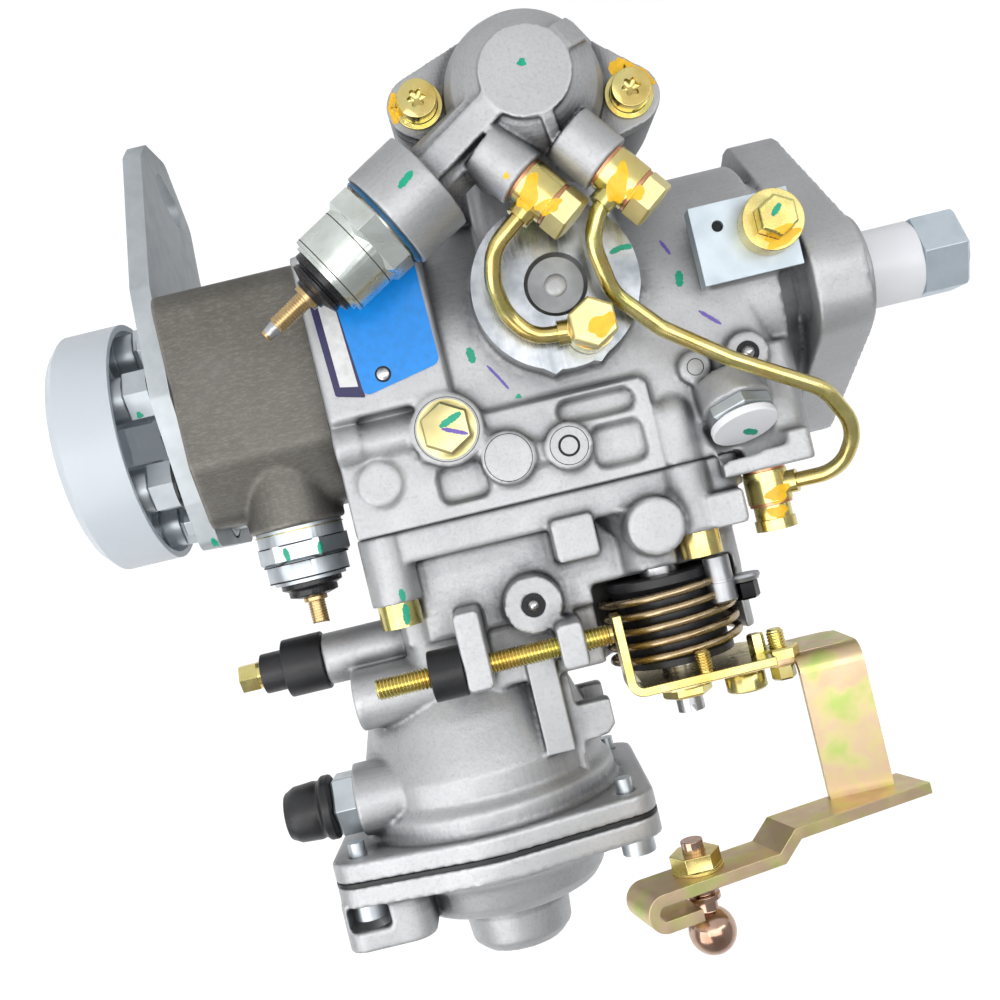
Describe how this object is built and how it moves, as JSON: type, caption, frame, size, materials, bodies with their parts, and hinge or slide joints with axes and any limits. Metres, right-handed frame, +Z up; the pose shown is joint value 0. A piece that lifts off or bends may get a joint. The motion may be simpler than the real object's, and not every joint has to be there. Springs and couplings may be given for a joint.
{
  "type": "diesel injection pump",
  "caption": "Rotary distributor diesel injection pump with flange mount, drive shaft, delivery outlets, boost compensator, cold start device and throttle lever.",
  "frame": {"origin": "centre of the mounting flange's engine face, on the drive shaft's axis", "axes": "+X along the drive shaft from the engine towards the delivery outlets, +Z up towards the boost compensator, -Y the side with the steel pipes"},
  "size_m": [0.285, 0.149, 0.2756],
  "materials": {
    "cast": "sand and die cast aluminium, lightly blasted, with machined faces",
    "phosphated": "dark brown phosphated steel with fine machining marks",
    "zinc": "clear zinc plated steel",
    "yellow_zinc": "yellow passivated zinc plated steel with iridescent tints",
    "copper": "soft copper and bearing bronze",
    "steel": "ground and hardened steel, oiled",
    "white_plastic": "milky white moulded plastic",
    "black_plastic": "black moulded plastic",
    "rubber": "black rubber"
  },
  "bodies": {
    "root": {"pump_housing": "cast", "governor_cover": "cast", "cover_screws": "yellow_zinc", "distributor_head": "phosphated", "support_bracket": "zinc", "delivery_valve_holders": "zinc", "head_plug": "black_plastic", "delivery_cap": "white_plastic", "boost_cover": "cast", "boost_cover_screws": "zinc", "boost_diaphragm": "rubber", "boost_fitting": "zinc", "boost_fitting_cap": "rubber", "timer_cover": "cast", "timer_end_cover": "cast", "small_screws": "yellow_zinc", "cold_start_solenoid": "zinc", "terminal_insulators": "black_plastic", "terminal_studs": "yellow_zinc", "stop_solenoid": "zinc", "timer_pipe": "yellow_zinc", "overflow_pipe": "yellow_zinc", "banjo_bolts": "yellow_zinc", "copper_washers": "copper", "overflow_valve": "yellow_zinc", "inlet_fitting": "zinc", "inlet_cap": "white_plastic", "access_plug": "yellow_zinc", "stop_screws": "yellow_zinc", "tamper_collars": "black_plastic", "shaft_seal": "rubber", "shaft_bushes": "copper", "supply_pump_ring": "steel", "supply_pump_plate": "steel", "governor_shaft": "steel", "shaft_lock_plate": "zinc", "shaft_lock_bolt": "yellow_zinc", "throttle_spring": "steel", "throttle_boot": "black_plastic"},
    "drive_shaft": {"drive_shaft": "steel", "shaft_nut": "zinc", "shaft_sleeve": "white_plastic", "supply_pump_rotor": "steel", "supply_pump_vanes": "steel", "drive_gear": "steel"},
    "plunger": {"cam_plate": "steel", "plunger": "steel"},
    "governor_cage": {"flyweight_cage": "steel", "flyweights": "steel"},
    "governor_sleeve": {"governor_sleeve": "steel"},
    "timer_piston": {"timer_piston": "steel"},
    "roller_ring": {"roller_ring": "steel", "rollers": "steel"},
    "boost_pin": {"boost_pin": "steel"},
    "throttle_lever": {"throttle_shaft": "steel", "throttle_bracket": "yellow_zinc", "throttle_arm": "yellow_zinc", "lever_arm": "yellow_zinc", "ball_stud": "yellow_zinc", "throttle_nuts": "yellow_zinc"}
  },
  "joints": [
    {"name": "drive_shaft_turn", "type": "hinge", "parent": "root", "child": "drive_shaft", "pos_m": [0, 0, 0], "axis": [1, 0, 0], "continuous": true},
    {"name": "plunger_stroke", "type": "slide", "parent": "drive_shaft", "child": "plunger", "axis": [1, 0, 0], "range_m": [0, 0.0022]},
    {"name": "governor_turn", "type": "hinge", "parent": "root", "child": "governor_cage", "pos_m": [0.05, 0, 0.0375], "axis": [1, 0, 0], "continuous": true},
    {"name": "governor_sleeve_slide", "type": "slide", "parent": "root", "child": "governor_sleeve", "axis": [1, 0, 0], "range_m": [0, 0.006]},
    {"name": "timer_slide", "type": "slide", "parent": "root", "child": "timer_piston", "axis": [0, 1, 0], "range_m": [0, 0.008]},
    {"name": "roller_ring_turn", "type": "hinge", "parent": "root", "child": "roller_ring", "pos_m": [0.083, 0, 0], "axis": [1, 0, 0], "range_deg": [0, 8.2]},
    {"name": "boost_pin_slide", "type": "slide", "parent": "root", "child": "boost_pin", "axis": [0, 0, -1], "range_m": [0, 0.008], "deforming": ["boost_diaphragm"]},
    {"name": "throttle_turn", "type": "hinge", "parent": "root", "child": "throttle_lever", "pos_m": [0.073, -0.027, 0.1], "axis": [0, 0, 1], "range_deg": [-45, 0]}
  ],
  "couplings": [
    {"joint": "governor_turn", "follows": "drive_shaft_turn", "ratio": -1.5},
    {"joint": "roller_ring_turn", "follows": "timer_slide", "rad_per_m": 16.807}
  ]
}
